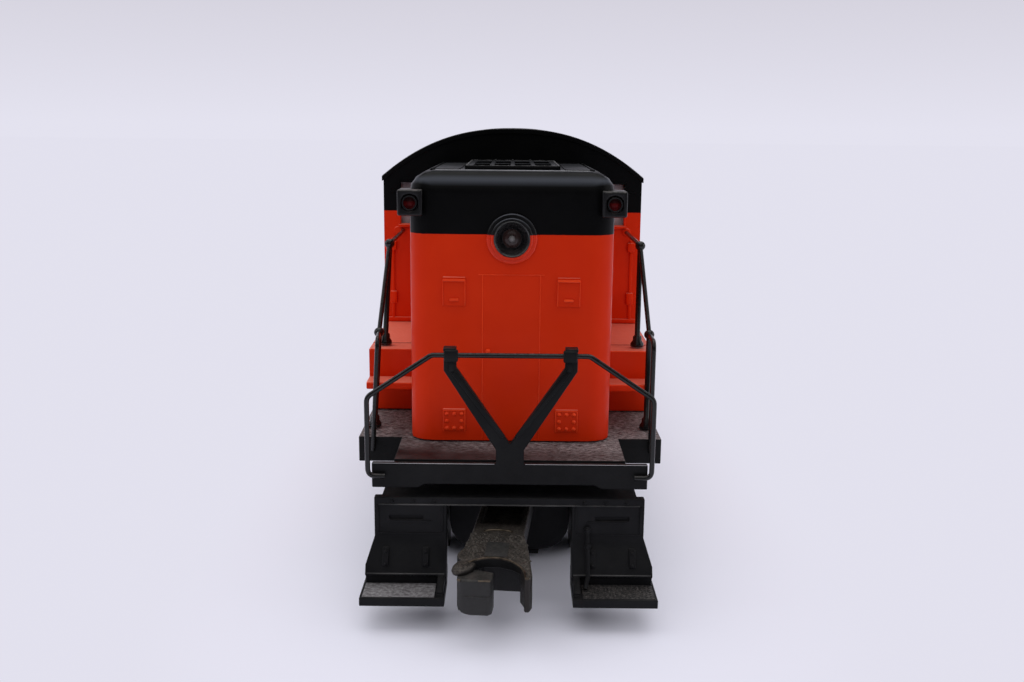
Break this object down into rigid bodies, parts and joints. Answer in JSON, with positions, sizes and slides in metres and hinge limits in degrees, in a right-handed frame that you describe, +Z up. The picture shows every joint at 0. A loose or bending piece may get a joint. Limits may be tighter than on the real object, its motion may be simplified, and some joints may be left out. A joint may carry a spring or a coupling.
{
  "type": "model diesel locomotive",
  "caption": "O-gauge hood-type diesel road switcher with an arched cab, wire rails, swivelling worm-drive trucks and opening knuckle couplers.",
  "frame": {"origin": "on the plane under the wheel flanges, below the middle of the overall box", "axes": "+X across, to the locomotive's own left; +Y along it, away from the short hood; +Z up"},
  "size_m": [0.0632, 0.3464, 0.094],
  "materials": {
    "shell_paint": "satin orange paint with a black upper part",
    "frame_black": "satin black on die-cast metal, dusty on top",
    "plastic_black": "black moulding",
    "wire_black": "blackened bent wire",
    "coupler_casting": "rough blackened casting",
    "wheel_steel": "blackened steel with a bright tread",
    "shaft_steel": "plain turned steel",
    "gear_brass": "machined brass",
    "motor_can": "plated can",
    "clear_glazing": "clear moulding",
    "red_lens": "red lens",
    "board_green": "circuit board"
  },
  "bodies": {
    "chassis": {"frame": "frame_black", "short_hood": "shell_paint", "cab": "shell_paint", "long_hood": "shell_paint", "cab_glazing": "clear_glazing", "front_headlight": "clear_glazing", "rear_headlight": "clear_glazing", "front_left_marker_housing": "plastic_black", "front_left_marker_lens": "red_lens", "front_right_marker_housing": "plastic_black", "front_right_marker_lens": "red_lens", "front_end_beam": "plastic_black", "front_end_rail": "wire_black", "rear_left_marker_housing": "plastic_black", "rear_left_marker_lens": "red_lens", "rear_right_marker_housing": "plastic_black", "rear_right_marker_lens": "red_lens", "rear_end_beam": "plastic_black", "rear_end_rail": "wire_black", "left_step_rail": "wire_black", "right_step_rail": "wire_black", "left_walkway_rail": "wire_black", "right_walkway_rail": "wire_black", "fuel_tank": "plastic_black", "control_board": "board_green"},
    "front_truck": {"front_gear_block": "frame_black", "front_gear_cover": "frame_black", "front_sideframe_left": "frame_black", "front_sideframe_right": "frame_black", "front_pilot": "frame_black", "front_motor": "motor_can"},
    "front_drive_wheelset": {"front_drive_axle": "shaft_steel", "front_drive_wheel_left": "wheel_steel", "front_drive_wheel_right": "wheel_steel"},
    "front_idle_wheelset": {"front_idle_axle": "shaft_steel", "front_idle_wheel_left": "wheel_steel", "front_idle_wheel_right": "wheel_steel"},
    "front_rotor": {"front_worm_shaft": "gear_brass"},
    "front_coupler_arm": {"front_coupler": "coupler_casting"},
    "front_coupler_jaw": {"front_knuckle": "coupler_casting"},
    "front_pickup": {"front_pickup_arm": "gear_brass"},
    "front_roller": {"front_pickup_roller": "shaft_steel"},
    "rear_truck": {"rear_gear_block": "frame_black", "rear_gear_cover": "frame_black", "rear_sideframe_left": "frame_black", "rear_sideframe_right": "frame_black", "rear_pilot": "frame_black", "rear_motor": "motor_can"},
    "rear_drive_wheelset": {"rear_drive_axle": "shaft_steel", "rear_drive_wheel_left": "wheel_steel", "rear_drive_wheel_right": "wheel_steel"},
    "rear_idle_wheelset": {"rear_idle_axle": "shaft_steel", "rear_idle_wheel_left": "wheel_steel", "rear_idle_wheel_right": "wheel_steel"},
    "rear_rotor": {"rear_worm_shaft": "gear_brass"},
    "rear_coupler_arm": {"rear_coupler": "coupler_casting"},
    "rear_coupler_jaw": {"rear_knuckle": "coupler_casting"},
    "rear_pickup": {"rear_pickup_arm": "gear_brass"},
    "rear_roller": {"rear_pickup_roller": "shaft_steel"}
  },
  "joints": [
    {"name": "front_truck_swivel", "type": "hinge", "parent": "chassis", "child": "front_truck", "pos_m": [0, -0.091, 0.029], "axis": [0, 0, 1], "range_deg": [-14, 14]},
    {"name": "front_motor_spin", "type": "hinge", "parent": "front_truck", "child": "front_rotor", "pos_m": [0, -0.1105, 0.03], "axis": [0, 0, 1], "continuous": true},
    {"name": "front_drive_spin", "type": "hinge", "parent": "front_truck", "child": "front_drive_wheelset", "pos_m": [0, -0.1195, 0.01157], "axis": [1, 0, 0], "continuous": true},
    {"name": "front_idle_spin", "type": "hinge", "parent": "front_truck", "child": "front_idle_wheelset", "pos_m": [0, -0.0625, 0.01157], "axis": [1, 0, 0], "continuous": true},
    {"name": "front_coupler_swing", "type": "hinge", "parent": "front_truck", "child": "front_coupler_arm", "pos_m": [0, -0.1345, 0.0155], "axis": [0, 0, 1], "range_deg": [-4.7, 15.3]},
    {"name": "front_knuckle_open", "type": "hinge", "parent": "front_coupler_arm", "child": "front_coupler_jaw", "pos_m": [-0.00734, -0.16495, 0.0112], "axis": [0, 0, -1], "range_deg": [0, 40]},
    {"name": "front_pickup_lift", "type": "hinge", "parent": "front_truck", "child": "front_pickup", "pos_m": [0, -0.097, 0.0075], "axis": [1, 0, 0], "range_deg": [0, 8], "stiffness_Nm_per_rad": 0.004, "springref_deg": -17.19},
    {"name": "front_roller_spin", "type": "hinge", "parent": "front_pickup", "child": "front_roller", "pos_m": [0, -0.083, 0.00305], "axis": [1, 0, 0], "continuous": true},
    {"name": "rear_truck_swivel", "type": "hinge", "parent": "chassis", "child": "rear_truck", "pos_m": [0, 0.091, 0.029], "axis": [0, 0, 1], "range_deg": [-14, 14]},
    {"name": "rear_motor_spin", "type": "hinge", "parent": "rear_truck", "child": "rear_rotor", "pos_m": [0, 0.1105, 0.03], "axis": [0, 0, 1], "continuous": true},
    {"name": "rear_drive_spin", "type": "hinge", "parent": "rear_truck", "child": "rear_drive_wheelset", "pos_m": [0, 0.1195, 0.01157], "axis": [-1, 0, 0], "continuous": true},
    {"name": "rear_idle_spin", "type": "hinge", "parent": "rear_truck", "child": "rear_idle_wheelset", "pos_m": [0, 0.0625, 0.01157], "axis": [-1, 0, 0], "continuous": true},
    {"name": "rear_coupler_swing", "type": "hinge", "parent": "rear_truck", "child": "rear_coupler_arm", "pos_m": [0, 0.1345, 0.0155], "axis": [0, 0, 1], "range_deg": [-4.7, 15.3]},
    {"name": "rear_knuckle_open", "type": "hinge", "parent": "rear_coupler_arm", "child": "rear_coupler_jaw", "pos_m": [0.00734, 0.16495, 0.0112], "axis": [0, 0, -1], "range_deg": [0, 40]},
    {"name": "rear_pickup_lift", "type": "hinge", "parent": "rear_truck", "child": "rear_pickup", "pos_m": [0, 0.097, 0.0075], "axis": [-1, 0, 0], "range_deg": [0, 8], "stiffness_Nm_per_rad": 0.004, "springref_deg": -17.19},
    {"name": "rear_roller_spin", "type": "hinge", "parent": "rear_pickup", "child": "rear_roller", "pos_m": [0, 0.083, 0.00305], "axis": [-1, 0, 0], "continuous": true}
  ],
  "couplings": [
    {"joint": "front_drive_spin", "follows": "front_motor_spin", "ratio": -0.0625},
    {"joint": "rear_drive_spin", "follows": "rear_motor_spin", "ratio": -0.0625}
  ]
}
